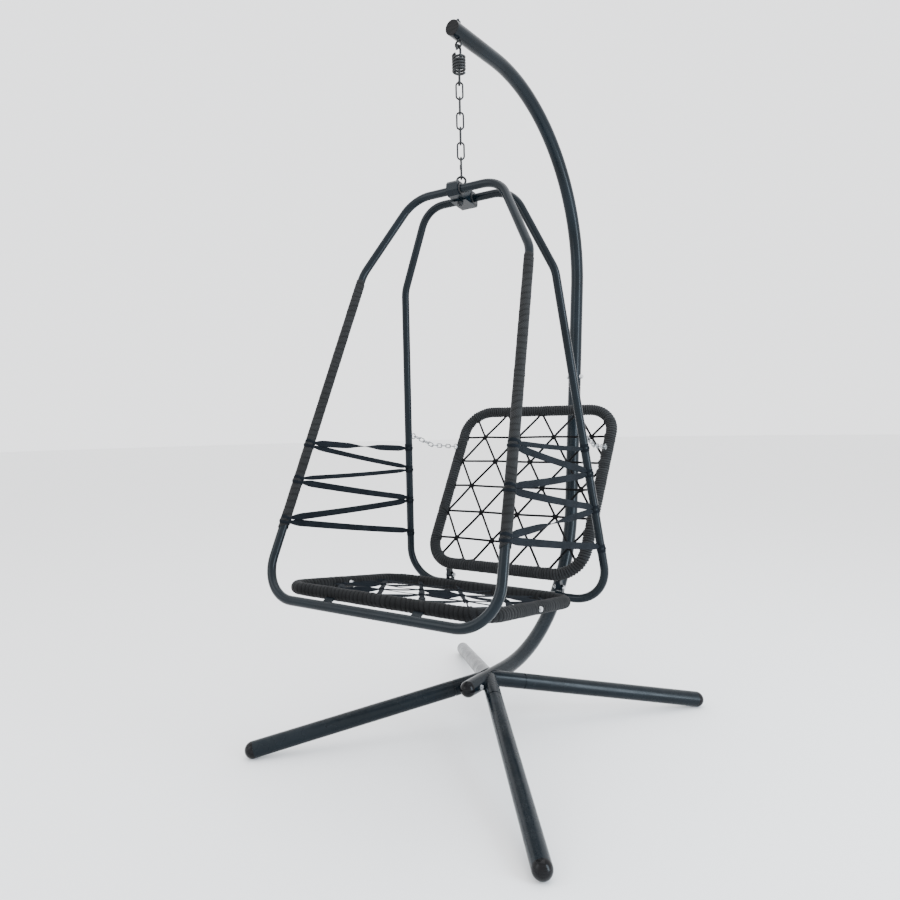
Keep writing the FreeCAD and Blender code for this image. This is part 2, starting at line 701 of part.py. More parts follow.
def arm_knots(side):
    knots = []
    for fore, drops, inner in ((1, STRAP_REAR, TUBE_R), (-1, STRAP_FRONT, FRONT_WRAP_R)):
        along = side_direction(fore, side)
        for drop in drops:
            centre = hoop_side(fore, side, drop)
            knots.append(pipe_piece(centre - along * 11, centre + along * 11, inner + 2.2, inner + 0.1))
    return group(knots)


def arm_straps(side):
    """Zigzag of bands from the rear tube to the front tube and back."""
    rear = [hoop_side(1, side, d) for d in STRAP_REAR]
    front = [hoop_side(-1, side, d) for d in STRAP_FRONT]
    near, far = TUBE_R + STRAP_GAP, FRONT_WRAP_R + STRAP_GAP
    solids = []
    for i, point in enumerate(front):
        for rear_point, lift in ((rear[i], 4.0), (rear[i + 1], -4.0)):
            shift = side_direction(-1, side) * -lift
            solids.append(strap(rear_point - shift, point + shift, (near, far)))
    return group(solids)


# ---------- side chains ----------

def hoop_eye_seat(side):
    """Point on the tube's centre line, the eye's direction, the tube's direction and radius."""
    outward = unit(V(-0.12 * side, 1, 0))
    return hoop_side(1, side, SIDE_EYE_DROP), outward, side_direction(1, side), TUBE_R


def back_eye_seat(side):
    lean = (BACK_TOP_HALF - BACK_LOW_HALF) / BACK_LEN
    centre = back_point(side * (BACK_LOW_HALF + lean * SIDE_EYE_RISE), SIDE_EYE_RISE)
    return centre, unit(V(0.12 * side, -1, 0)), unit(BACK_UP + X * (side * lean)), BACK_WRAP_R


def eye_middle(centre, outward, tube_way, tube_radius):
    """The ring stands clear of a tube that leans across the eye's direction."""
    clear = tube_radius + SIDE_EYE_STEM + SIDE_WIRE + SIDE_EYE_MEAN
    return centre + outward * (clear / outward.cross(tube_way).Length)


def screw_eye(centre, outward, tube_way, tube_radius):
    """A ring standing out from a tube on a short shank, its plane upright."""
    middle = eye_middle(centre, outward, tube_way, tube_radius)
    normal = unit(outward.cross(Z))
    surface = centre + outward * (tube_radius / outward.cross(tube_way).Length)
    shank = rod(surface - outward, middle - outward * (SIDE_EYE_MEAN - 0.5), SIDE_WIRE)
    washer = rod(surface - outward, surface + outward * 1.5, 4.5)
    tube_space = rod(centre - tube_way * 30, centre + tube_way * 30, tube_radius + 0.02)
    return fused([ring(middle, normal, SIDE_EYE_MEAN, SIDE_WIRE), shank, washer]).cut(tube_space)


SIDE_LAP = 2 * SIDE_WIRE + GAP          # between the wire centres of two linked ends


def chain_ends(side):
    """Outer wire centres of the first and last link, just inside the two eyes."""
    front, rear = [eye_middle(*seat) + seat[1] * SIDE_EYE_MEAN
                   for seat in (hoop_eye_seat(side), back_eye_seat(side))]
    lap = unit(rear - front) * SIDE_LAP
    return front - lap, rear + lap


def side_pitch(side):
    start, end = chain_ends(side)
    return (2 * hypot((end - start).Length / 2, SIDE_SAG) - SIDE_LAP) / sum(SIDE_LINKS)


def chain_bend(side):
    """First wire centre of the chain's rear part, below the line between the eyes."""
    start, end = chain_ends(side)
    chord = (end - start).Length
    first = SIDE_LINKS[0] * side_pitch(side)
    second = SIDE_LINKS[1] * side_pitch(side) + SIDE_LAP
    along = (first ** 2 - second ** 2 + chord ** 2) / (2 * chord)
    down = sqrt(first ** 2 - along ** 2)
    direction = unit(end - start)
    below = unit(V(0, 0, -1) + direction * direction.z)
    return start + direction * along + below * down


def small_links(start, direction, side, count):
    """Links each turned a quarter from the last, the first one lying level."""
    level = unit(direction.cross(Z))
    widths = (level, direction.cross(level))
    pitch = side_pitch(side)
    return group([loop_link(start + direction * (i * pitch), direction, widths[i % 2],
                            pitch + SIDE_LAP, SIDE_HALF, SIDE_WIRE) for i in range(count)])


def side_chain(side, rear):
    start, end = chain_ends(side)
    bend = chain_bend(side)
    if rear:
        return small_links(bend, unit(end - bend), side, SIDE_LINKS[1])
    return small_links(start, unit(bend - start), side, SIDE_LINKS[0])


# ---------- all nodes ----------

def stand_nodes():
    nodes = {"lower_pole": lower_pole(), "upper_pole": upper_pole(), "base_stubs": base_stubs(),
             "foot_cap": foot_cap(), "pole_end_cap": pole_end_cap(),
             "hanging_eye": hanging_eye(), "hanging_eye_nut": hanging_eye_nut(),
             "base_bolt": cross_bolt(hub(BASE_BOLT_Y, HUB_Z), X, 2 * POLE_R, 3.0),
             "joint_bolt": cross_bolt(joint_bolt_centre(), X, 2 * POLE_R, 4.0)}
    for name, (side, fore) in CORNERS.items():
        nodes["leg_" + name] = leg(side, fore)
        nodes["leg_cap_" + name] = leg_cap(side, fore)
    return nodes


def suspension_nodes():
    nodes = {"spring_top_hook": spring_top_hook(), "spring_coil": spring_coil(),
             "spring_lower_hook": spring_lower_hook(),
             "clip_body": clip_body(), "clip_gate": clip_gate()}
    for i in range(LINKS):
        nodes["chain_link_%d" % (i + 1)] = chain_link(i)
    return nodes


def chair_nodes():
    nodes = {"bracket": bracket(),
             "front_hoop": hoop(-1), "rear_hoop": hoop(1),
             "seat_front_tube": seat_tube(False), "seat_rear_tube": seat_tube(True),
             "seat_front_wrap": seat_wrap(False), "seat_rear_wrap": seat_wrap(True),
             "seat_bolts": seat_bolts(), "seat_net": seat_net(),
             "seat_brackets": seat_brackets(),
             "back_frame": tube(back_path(), TUBE_R, TUBE_R - TUBE_WALL),
             "back_wrap": tube(back_path(), BACK_WRAP_R, TUBE_R + 0.1),
             "back_net": back_net()}
    nodes["bracket_bushes"] = group([bracket_bush(y) for y in (-TOP_BAR_Y, TOP_BAR_Y)])
    nodes["hinge_pins"] = group([s for side in (-1, 1) for s in hinge_pin(side).Solids])
    nodes["hoop_eyes"] = group([screw_eye(*hoop_eye_seat(side)) for side in (-1, 1)])
    nodes["back_eyes"] = group([screw_eye(*back_eye_seat(side)) for side in (-1, 1)])
    for name, side in (("left", -1), ("right", 1)):
        nodes["front_wrap_" + name] = front_wrap(side)
        nodes["hinge_bracket_" + name] = hinge_bracket(side)
        nodes["back_tab_" + name] = back_tab(side)
        nodes["arm_straps_" + name] = arm_straps(side)
        nodes["arm_knots_" + name] = arm_knots(side)
        nodes["side_chain_front_" + name] = side_chain(side, False)
        nodes["side_chain_rear_" + name] = side_chain(side, True)
    hung = {name: placed(shape) for name, shape in nodes.items()}
    hung["swivel_eye"], hung["swivel_nut"] = placed(swivel_eye(), 0), placed(swivel_nut(), 0)
    return hung


def main():
    os.makedirs("parts", exist_ok=True)
    nodes = {**stand_nodes(), **suspension_nodes(), **chair_nodes()}
    whole = FreeCAD.BoundBox()
    for name, shape in nodes.items():
        shape.exportStep("parts/%s.step" % name)
        box = shape.optimalBoundingBox()
        whole.add(box)
        print("%-24s solids %3d valid %s volume %10.0f  z %7.1f %7.1f"
              % (name, len(shape.Solids), shape.isValid(), shape.Volume, box.ZMin, box.ZMax))
    print("nodes", len(nodes), "box", whole)


main()
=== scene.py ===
"""Looks of the hanging patio swing chair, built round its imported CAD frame.  Metres, +Z up."""
import json
from math import atan2, cos, pi, radians, sin, tan

import bmesh
import bpy
import numpy as np
from mathutils import Matrix, Vector

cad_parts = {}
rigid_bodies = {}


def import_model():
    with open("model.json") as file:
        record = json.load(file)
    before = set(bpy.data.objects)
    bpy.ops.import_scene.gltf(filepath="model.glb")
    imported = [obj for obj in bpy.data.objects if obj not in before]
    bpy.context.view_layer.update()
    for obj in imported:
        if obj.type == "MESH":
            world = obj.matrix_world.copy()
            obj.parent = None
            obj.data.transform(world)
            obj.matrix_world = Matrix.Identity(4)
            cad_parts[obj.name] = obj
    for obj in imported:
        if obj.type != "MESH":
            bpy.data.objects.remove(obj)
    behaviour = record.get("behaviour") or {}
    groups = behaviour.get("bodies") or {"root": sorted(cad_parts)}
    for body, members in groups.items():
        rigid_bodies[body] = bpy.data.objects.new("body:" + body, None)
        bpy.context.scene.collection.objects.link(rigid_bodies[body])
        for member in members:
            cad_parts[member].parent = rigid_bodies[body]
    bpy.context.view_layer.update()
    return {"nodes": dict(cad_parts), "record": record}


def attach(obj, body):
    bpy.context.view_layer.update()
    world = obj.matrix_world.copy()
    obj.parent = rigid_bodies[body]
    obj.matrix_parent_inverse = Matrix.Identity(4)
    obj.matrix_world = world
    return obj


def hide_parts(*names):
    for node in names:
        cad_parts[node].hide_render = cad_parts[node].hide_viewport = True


for leftover in list(bpy.data.objects):
    bpy.data.objects.remove(leftover)
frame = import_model()
NODES = frame["nodes"]
RANDOM = np.random.default_rng(7)

# the chair's driving sizes, the same as in the CAD, in metres
PIVOT = np.array([0.0, -0.1329, 1.4973])
TILT, TWIST = radians(-7.17), radians(3.55)
CHAIR_SHIFT = np.array([0, 0.0053, 0])                # the top bars sit behind the bolt
TUBE_R = 0.011
TOP_BAR_Z, TOP_BAR_Y, HOOP_DROP, HOOP_SPREAD = -0.0423, 0.0334, 1.0614, 0.3157
HOOP_SHOULDER = {-1: (0.249, 0.2232), 1: (0.2355, 0.2232)}    # half width and slope drop
HOOP_FOOT = (0.3155, 1.0983)
FRONT_WRAP, FRONT_WRAP_R = (0.243, 0.936), 0.0126
SEAT_HALF, SEAT_CORNER, SEAT_WRAP_R = 0.270, 0.060, 0.015
SEAT_FRONT, SEAT_REAR = np.array([0, -0.280, -1.0800]), np.array([0, 0.165, -1.0900])
BACK_LEAN, BACK_FOOT = radians(26.1), np.array([0, 0.2968, -1.0452])
BACK_LEN, BACK_LOW, BACK_TOP, BACK_CORNER, BACK_WRAP_R = 0.538, 0.2403, 0.252, 0.082, 0.017
KNOT_STEP = 0.1205
KNOT_ROOM = 0.012                                     # no knot closer to a rail
NET_CORD_R = 0.0034
NET_BOW = 0.0012                                      # how far its cords stray from a line
NET_INTO_WRAP = 0.003                                 # how much further a cord's ends run on
TUCK = 0.0005                                         # how far a net reaches into a wrapping
WRAP_SIDES = 22                                       # facets round a wrapping
BACK_TIE, SEAT_TIE, FRONT_TIE = 0.0024, 0.0009, 0.0010    # bumps of tied ends under it
HUMP, DIP_AT, DIP = 0.006, 0.011, 0.004               # reach of a bump; place and reach of the dip by it
PUSH, PUSH_REACH = 0.0035, 0.012                      # how far a bump pushes turns aside, and its reach
ROPE_PITCH, SEAT_PITCH, FRONT_PITCH = 0.0074, 0.0115, 0.0150   # turn to turn of the wrappings
BACK_ROWS, BACK_SHIFT = (0.082, 0.0895, 5), 0.012     # first row, step, rows; sideways shift
SEAT_ROWS = (0.089, 0.089, 4)
RIBBON_W, RIBBON_T, RIBBON_SAG = 0.017, 0.0014, 0.0015
RIBBON_KNOT, STRAP_KNOT = (0.0058, 0.0024), (0.0036, 0.0014)   # reach of the loops, cord's radius
STRAP_W, STRAP_T, STRAP_SAG = 0.017, 0.0014, 0.002
STRAP_BUNCH, STRAP_OPEN = 0.0012, 0.042               # thicker at a tie; flat this far from it
PATH_STEP = 0.001                                     # from point to point of a Path
STRAP_REAR, STRAP_FRONT = (0.664, 0.728, 0.820, 0.920), (0.692, 0.784, 0.883)
HUB = np.array([0, -0.0535, 0.1435])
POLE_R = 0.021
LEG_TURN, LEG_REACH = radians(40.6), 0.629

X, Y, Z = np.eye(3)
SLOPE = atan2(HOOP_SPREAD - TOP_BAR_Y, HOOP_DROP)
SEAT_DEPTH = float(np.linalg.norm(SEAT_REAR - SEAT_FRONT))
SEAT_BACK = (SEAT_REAR - SEAT_FRONT) / SEAT_DEPTH
SEAT_UP = np.cross(X, SEAT_BACK)
BACK_UP = np.array([0, sin(BACK_LEAN), cos(BACK_LEAN)])
BACK_OUT = np.array([0, cos(BACK_LEAN), -sin(BACK_LEAN)])
TURN = (np.array([[cos(TWIST), -sin(TWIST), 0], [sin(TWIST), cos(TWIST), 0], [0, 0, 1]])
        @ np.array([[1, 0, 0], [0, cos(TILT), -sin(TILT)], [0, sin(TILT), cos(TILT)]]))


def unit(vector):
    return vector / np.linalg.norm(vector)


def hang(points):
    """From the upright chair to where it hangs."""
    return (np.asarray(points) + CHAIR_SHIFT) @ TURN.T + PIVOT


# ---------- camera, light and floor ----------

def camera():
    data = bpy.data.cameras.new("camera")
    data.lens, data.sensor_width = 28.10, 36.0
    data.shift_x, data.shift_y = 0.0316, -0.0503
    cam = bpy.data.objects.new("camera", data)
    bpy.context.scene.collection.objects.link(cam)
    yaw, pitch, roll = 0.6515, 0.0239, -0.0207
    stand_point = (1.0424, -1.6975, 0.8469)
    right = np.array([cos(yaw), sin(yaw), 0])
    ahead = np.array([-sin(yaw) * cos(pitch), cos(yaw) * cos(pitch), sin(pitch)])
    up = np.cross(right, ahead)
    side = right * cos(roll) + up * sin(roll)
    top = up * cos(roll) - right * sin(roll)
    rows = [[side[i], top[i], -ahead[i], at] for i, at in enumerate(stand_point)]
    cam.matrix_world = Matrix(rows + [[0, 0, 0, 1]])
    bpy.context.scene.camera = cam


def area_light(name, place, aim, size, power, colour):
    data = bpy.data.lights.new(name, "AREA")
    data.shape, data.size, data.size_y = "RECTANGLE", size[0], size[1]
    data.energy, data.color = power, colour
    light = bpy.data.objects.new(name, data)
    bpy.context.scene.collection.objects.link(light)
    light.location = place
    light.rotation_euler = (Vector(aim) - Vector(place)).to_track_quat("-Z", "Y").to_euler()


def studio():
    world = bpy.data.worlds.new("studio")
    bpy.context.scene.world = world
    world.use_nodes = True
    background = world.node_tree.nodes["Background"]
    background.inputs["Color"].default_value = (0.97, 0.98, 1.0, 1)
    background.inputs["Strength"].default_value = 2.3
    area_light("key", (3.2, -0.1, 1.4), (0, 0, 0.9), (0.9, 2.8), 150, (0.72, 0.87, 1.0))
    area_light("fill", (-1.4, -3.2, 2.2), (0, 0, 0.8), (1.6, 2.4), 40, (0.92, 0.96, 1.0))
    area_light("top", (0.4, 0.2, 4.2), (0, 0, 1.0), (3.0, 3.0), 60, (0.95, 0.97, 1.0))
    mesh = bpy.data.meshes.new("floor")
    corners = [(30 * cos(a), 30 * sin(a), 0) for a in np.linspace(0, 2 * pi, 65)[:-1]]
    mesh.from_pydata(corners, [], [list(range(64))])
    floor_object = bpy.data.objects.new("floor", mesh)
    bpy.context.scene.collection.objects.link(floor_object)
    mesh.materials.append(principled("floor_pale", (0.86, 0.86, 0.86), 0.75)[0])


# ---------- materials ----------

def principled(name, colour, roughness, metallic=0.0, **sockets):
    material = bpy.data.materials.new(name)
    material.use_nodes = True
    nodes, links = material.node_tree.nodes, material.node_tree.links
    surface = nodes["Principled BSDF"]
    surface.inputs["Base Color"].default_value = (*colour, 1)
    surface.inputs["Roughness"].default_value = roughness
    surface.inputs["Metallic"].default_value = metallic
    for socket, value in sockets.items():
        surface.inputs[socket.replace("_", " ")].default_value = value
    return material, nodes, links, surface


def coordinates(nodes, kind="Object"):
    return nodes.new("ShaderNodeTexCoord").outputs[kind]


def noise(nodes, links, vector, scale, detail=3.0, stretch=None):
    if stretch:
        mapping = nodes.new("ShaderNodeMapping")
        mapping.inputs["Scale"].default_value = stretch
        links.new(vector, mapping.inputs["Vector"])
        vector = mapping.outputs["Vector"]
    texture = nodes.new("ShaderNodeTexNoise")
    texture.inputs["Scale"].default_value = scale
    texture.inputs["Detail"].default_value = detail
    links.new(vector, texture.inputs["Vector"])
    return texture.outputs["Fac"]


def spread(nodes, links, value, low, high, start=0.3, end=0.7):
    """Maps a texture's middle range to low..high."""
    node = nodes.new("ShaderNodeMapRange")
    for socket, number in (("From Min", start), ("From Max", end), ("To Min", low), ("To Max", high)):
        node.inputs[socket].default_value = number
    links.new(value, node.inputs["Value"])
    return node.outputs["Result"]


def two_tone(nodes, links, factor, dark, light, start=0.3, end=0.7):
    ramp = nodes.new("ShaderNodeValToRGB")
    ramp.color_ramp.elements[0].position, ramp.color_ramp.elements[0].color = start, (*dark, 1)
    ramp.color_ramp.elements[1].position, ramp.color_ramp.elements[1].color = end, (*light, 1)
    links.new(factor, ramp.inputs["Fac"])
    return ramp.outputs["Color"]


def blended(nodes, links, factor, first, second, mode="MIX"):
    node = nodes.new("ShaderNodeMix")
    node.data_type, node.blend_type = "RGBA", mode
    for socket, value in (("Factor", factor), ("A", first), ("B", second)):
        kind = "VALUE" if socket == "Factor" else "RGBA"
        target = [s for s in node.inputs if s.name == socket and s.type == kind][0]
        if isinstance(value, (float, tuple)):
            target.default_value = value if isinstance(value, float) else (*value, 1)
        else:
            links.new(value, target)
    return [s for s in node.outputs if s.type == "RGBA"][0]


def maths(nodes, links, operation, first, second=None):
    node = nodes.new("ShaderNodeMath")
    node.operation = operation
    for i, value in enumerate((first, second)):
        if value is None:
            continue
        if isinstance(value, (int, float)):
            node.inputs[i].default_value = value
        else:
            links.new(value, node.inputs[i])
    return node.outputs[0]


def bumped(nodes, links, surface, height, strength, distance):
    node = nodes.new("ShaderNodeBump")
    node.inputs["Strength"].default_value = strength
    node.inputs["Distance"].default_value = distance
    links.new(height, node.inputs["Height"])
    links.new(node.outputs["Normal"], surface.inputs["Normal"])


def painted_steel():
    """Anthracite powder coat: fine orange peel, dust on what faces up, slight rubbing."""
    material, nodes, links, surface = principled(
        "painted_steel", (0.02, 0.03, 0.037), 0.4, 0.0, IOR=1.24)
    place = coordinates(nodes)
    broad = noise(nodes, links, place, 7.0, 4.0)
    paint = two_tone(nodes, links, broad, (0.0014, 0.0034, 0.0052), (0.0032, 0.0068, 0.010))
    speck = noise(nodes, links, place, 900.0, 2.0)
    paint = blended(nodes, links, spread(nodes, links, speck, 0.0, 0.35, 0.55, 0.75), paint,
                    (0.012, 0.016, 0.019))
    normal = nodes.new("ShaderNodeNewGeometry").outputs["Normal"]
    split = nodes.new("ShaderNodeSeparateXYZ")
    links.new(normal, split.inputs["Vector"])
    cloudy = spread(nodes, links, noise(nodes, links, place, 38.0, 5.0), 0.0, 0.22, 0.35, 0.75)
    facing_up = spread(nodes, links, split.outputs["Z"], 0.0, 1.0, 0.2, 1.0)
    dust = maths(nodes, links, "MULTIPLY", facing_up, cloudy)
    links.new(blended(nodes, links, dust, paint, (0.026, 0.028, 0.029)), surface.inputs["Base Color"])
    links.new(spread(nodes, links, noise(nodes, links, place, 26.0, 5.0), 0.18, 0.32),
              surface.inputs["Roughness"])
    peel = noise(nodes, links, place, 430.0, 2.0)
    bumped(nodes, links, surface, peel, 0.16, 0.0004)
    return material


def cap_plastic():
    material, nodes, links, surface = principled(
        "cap_plastic", (0.008, 0.008, 0.009), 0.2, 0.0, IOR=1.22)
    place = coordinates(nodes)
    scuffs = noise(nodes, links, place, 60.0, 8.0, (1, 1, 6))
    links.new(two_tone(nodes, links, scuffs, (0.0025, 0.0025, 0.003), (0.007, 0.007, 0.008), 0.4, 0.8),
              surface.inputs["Base Color"])
    links.new(spread(nodes, links, scuffs, 0.14, 0.34, 0.35, 0.75), surface.inputs["Roughness"])
    bumped(nodes, links, surface, noise(nodes, links, place, 300.0, 2.0), 0.06, 0.0003)
    return material


def bush_plastic():
    material, nodes, links, surface = principled("bush_plastic", (0.012, 0.012, 0.013), 0.5)
    place = coordinates(nodes)
    grain = noise(nodes, links, place, 700.0, 2.0)
    patches = noise(nodes, links, place, 40.0)
    links.new(two_tone(nodes, links, patches, (0.008, 0.008, 0.009), (0.02, 0.02, 0.021)),
              surface.inputs["Base Color"])
    links.new(spread(nodes, links, grain, 0.42, 0.58), surface.inputs["Roughness"])
    bumped(nodes, links, surface, grain, 0.25, 0.0003)
    return material


def dark_steel():
    """Black-coated steel, rubbed a little bare where links touch."""
    material, nodes, links, surface = principled("dark_steel", (0.006, 0.007, 0.008), 0.42, 0.0, IOR=1.3)
    place = coordinates(nodes)
    mottled = noise(nodes, links, place, 120.0, 6.0)
    coat = two_tone(nodes, links, mottled, (0.0035, 0.004, 0.0045), (0.011, 0.0125, 0.0135))
    edge = nodes.new("ShaderNodeNewGeometry").outputs["Pointiness"]
    rubbed = spread(nodes, links, edge, 0.0, 0.6, 0.505, 0.56)
    patches = spread(nodes, links, noise(nodes, links, place, 260.0), 0.0, 1.0)
    worn = maths(nodes, links, "MULTIPLY", rubbed, patches)
    links.new(blended(nodes, links, worn, coat, (0.06, 0.063, 0.066)), surface.inputs["Base Color"])
    links.new(spread(nodes, links, mottled, 0.32, 0.52), surface.inputs["Roughness"])
    bumped(nodes, links, surface, noise(nodes, links, place, 500.0, 4.0), 0.2, 0.0003)
    return material


def zinc(name, dark, light):
    material, nodes, links, surface = principled(name, dark, 0.28, 1.0)
    place = coordinates(nodes)
    cloud = noise(nodes, links, place, 90.0, 6.0)
    links.new(two_tone(nodes, links, cloud, dark, light), surface.inputs["Base Color"])
    links.new(spread(nodes, links, noise(nodes, links, place, 240.0, 5.0), 0.2, 0.42),
              surface.inputs["Roughness"])
    bumped(nodes, links, surface, noise(nodes, links, place, 600.0, 3.0), 0.15, 0.0002)
    return material


def twisted_fibre(name, dark, light, turns_per_metre, grain, width=None, gloss=1.2, groove_shade_tone=0.1):
    """Cord or rope whose UV runs along it (u) and across it (v), in metres; a wound rope of a known width
    gets painted shade in its grooves and a painted highlight on the crest of each turn."""
    material, nodes, links, surface = principled(name, dark, 0.86, 0.0, IOR=gloss, Sheen_Weight=0.03)
    flat = coordinates(nodes, "UV")
    place = coordinates(nodes)
    wave = nodes.new("ShaderNodeTexWave")
    wave.bands_direction = "DIAGONAL"
    wave.inputs["Scale"].default_value = turns_per_metre
    wave.inputs["Distortion"].default_value = 1.2
    wave.inputs["Detail"].default_value = 2.0
    links.new(flat, wave.inputs["Vector"])
    strands = wave.outputs["Fac"]
    fibres = noise(nodes, links, flat, grain, 5.0, (0.35, 1.6, 1))
    tone = noise(nodes, links, place, 16.0, 4.0)
    colour = two_tone(nodes, links, tone, dark, light, 0.25, 0.75)
    shadow = two_tone(nodes, links, strands, (0.45, 0.45, 0.46), (1.1, 1.1, 1.1), 0.05, 0.6)
    colour = blended(nodes, links, 1.0, colour, shadow, "MULTIPLY")
    fuzz = two_tone(nodes, links, fibres, (0.72, 0.72, 0.73), (1.3, 1.3, 1.28))
    colour = blended(nodes, links, 1.0, colour, fuzz, "MULTIPLY")
    if width:
        split = nodes.new("ShaderNodeSeparateXYZ")
        links.new(flat, split.inputs["Vector"])
        share = maths(nodes, links, "DIVIDE", split.outputs["Y"], width)
        edge = maths(nodes, links, "ABSOLUTE", maths(nodes, links, "SUBTRACT", share, 0.5))
        # painted shade: each turn darkens toward its grooves, and its middle is lifted 1.2x as a painted
        # highlight on the crest
        crest_highlight_and_groove_shade = two_tone(nodes, links, edge, (1.2, 1.2, 1.2), (groove_shade_tone,) * 3, 0.26, 0.47)
        colour = blended(nodes, links, 1.0, colour, crest_highlight_and_groove_shade, "MULTIPLY")
    links.new(colour, surface.inputs["Base Color"])
    links.new(spread(nodes, links, fibres, 0.62, 0.9), surface.inputs["Roughness"])
    height = maths(nodes, links, "ADD", maths(nodes, links, "MULTIPLY", strands, 0.8), fibres)
    bumped(nodes, links, surface, height, 0.55, 0.0006)
    return material


def webbing():
    """Flat woven band: UV runs along it (u) and across it (v), in metres."""
    material, nodes, links, surface = principled(
        "flat_band", (0.02, 0.026, 0.032), 0.88, 0.0, IOR=1.13, Sheen_Weight=0.01)
    flat = coordinates(nodes, "UV")
    heights = []
    for direction, scale in (("X", 230.0), ("Y", 150.0)):
        wave = nodes.new("ShaderNodeTexWave")
        wave.bands_direction = direction
        wave.inputs["Scale"].default_value = scale
        wave.inputs["Distortion"].default_value = 0.6
        links.new(flat, wave.inputs["Vector"])
        heights.append(wave.outputs["Fac"])
    weave = maths(nodes, links, "MULTIPLY", heights[0], heights[1])
    place = coordinates(nodes)
    tone = noise(nodes, links, place, 22.0, 4.0)
    colour = two_tone(nodes, links, tone, (0.005, 0.0068, 0.009), (0.0095, 0.0125, 0.016), 0.25, 0.75)
    threads = two_tone(nodes, links, weave, (0.6, 0.6, 0.62), (1.25, 1.25, 1.24), 0.1, 0.7)
    colour = blended(nodes, links, 1.0, colour, threads, "MULTIPLY")
    lint = noise(nodes, links, flat, 900.0, 4.0, (0.5, 1, 1))
    linty = spread(nodes, links, lint, 0.0, 0.25, 0.6, 0.8)
    links.new(blended(nodes, links, linty, colour, (0.035, 0.038, 0.042)), surface.inputs["Base Color"])
    links.new(spread(nodes, links, lint, 0.8, 0.95), surface.inputs["Roughness"])
    bumped(nodes, links, surface, maths(nodes, links, "ADD", weave, lint), 0.4, 0.0004)
    return material


# ---------- meshes ----------

class Piece:
    """Collects grids of points and makes one mesh of them."""

    def __init__(self):
        self.points, self.faces, self.uvs, self.count = [], [], [], 0

    def add(self, points, faces, uvs):
        """faces is an (n, 4) array into points; uvs is (n, 4, 2)."""
        self.points.append(points.reshape(-1, 3))
        self.faces.append(faces + self.count)
        self.uvs.append(uvs)
        self.count += points.reshape(-1, 3).shape[0]

    def grid(self, points, u, v, closed=False, caps=True):
        """Rings of points round a bar: points (n, m, 3), u (n), v is each ring's girth."""
        n, m = points.shape[:2]
        rows = n if closed else n - 1
        i, j = np.meshgrid(np.arange(rows), np.arange(m), indexing="ij")
        i2, j2 = (i + 1) % n, (j + 1) % m
        faces = np.stack([i * m + j, i * m + j2, i2 * m + j2, i2 * m + j], -1).reshape(-1, 4)
        us = np.append(u, 2 * u[-1] - u[-2]) if closed else u
        around = np.linspace(0, v, m + 1)
        uvs = np.stack([np.stack([us[i], around[j]], -1), np.stack([us[i], around[j + 1]], -1),
                        np.stack([us[i + 1], around[j + 1]], -1), np.stack([us[i + 1], around[j]], -1)],
                       2).reshape(-1, 4, 2)
        self.add(points, faces, uvs)
        if not closed and caps:
            self.cap(points[0], u[0], True)
            self.cap(points[-1], u[-1], False)

    def cap(self, ring, u, reverse):
        """Closes a ring of an even number of points with strips of quads."""
        m = len(ring)
        strips = []
        for k in range(m // 2 - 1):
            quad = [k, k + 1, m - 2 - k, m - 1 - k]
            strips.append(quad if reverse else quad[::-1])
        faces = np.array(strips)
        self.add(ring, faces, np.full((len(faces), 4, 2), u))

    def make(self, name, material, body, slot, *replaced):
        points, faces = np.concatenate(self.points), np.concatenate(self.faces)
        mesh = bpy.data.meshes.new(name)
        mesh.vertices.add(len(points))
        mesh.vertices.foreach_set("co", points.astype(np.float32).ravel())
        mesh.loops.add(faces.size)
        mesh.loops.foreach_set("vertex_index", faces.astype(np.int32).ravel())
        mesh.polygons.add(len(faces))
        mesh.polygons.foreach_set("loop_start", np.arange(0, faces.size, 4, dtype=np.int32))
        mesh.polygons.foreach_set("loop_total", np.full(len(faces), 4, np.int32))
        uvs = np.concatenate(self.uvs).astype(np.float32).ravel()
        mesh.uv_layers.new(name="uv").data.foreach_set("uv", uvs)
        mesh.polygons.foreach_set("use_smooth", np.ones(len(faces), bool))
        mesh.update()
        mesh.validate()
        welded = bmesh.new()
        welded.from_mesh(mesh)
        bmesh.ops.remove_doubles(welded, verts=welded.verts, dist=1e-6)
        bmesh.ops.recalc_face_normals(welded, faces=welded.faces)
        welded.to_mesh(mesh)
        welded.free()
        mesh.materials.append(material)
        piece = bpy.data.objects.new(name, mesh)
        bpy.context.scene.collection.objects.link(piece)
        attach(piece, body)
        if replaced:
            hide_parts(*replaced)
        return piece


def rounded(points, radii, closed, step):
    """Evenly spaced points along a path with rounded corners, and its length."""
    count, pieces = len(points), []
    for i in range(count):
        before, here, after = points[i - 1], points[i], points[(i + 1) % count]
        if radii[i] == 0 or (not closed and i in (0, count - 1)):
            pieces.append(here[None])
            continue
        back, ahead = unit(before - here), unit(after - here)
        half = np.arccos(np.clip(back @ ahead, -1, 1)) / 2
        centre = here + unit(back + ahead) * radii[i] / sin(half)
        start = here + back * radii[i] / tan(half) - centre
        other = here + ahead * radii[i] / tan(half) - centre
        side = unit(other - start * (start @ other) / radii[i] ** 2) * radii[i]
        turn = np.linspace(0, pi - 2 * half, 40)[:, None]
        pieces.append(centre + start * np.cos(turn) + side * np.sin(turn))
    line = np.concatenate(pieces + ([pieces[0][:1]] if closed else []))
    return resample(line, step)


def resample(line, step):
    """Evenly spaced points along a line, and its length."""
    gaps = np.linalg.norm(np.diff(line, axis=0), axis=1)
    line = line[np.append(True, gaps > 1e-7)]
    along = np.append(0, np.cumsum(np.linalg.norm(np.diff(line, axis=0), axis=1)))
    count = max(3, int(round(along[-1] / step)))
    places = np.linspace(0, along[-1], count + 1)
    even = np.stack([np.interp(places, along, line[:, k]) for k in range(3)], -1)
    return even, along[-1]


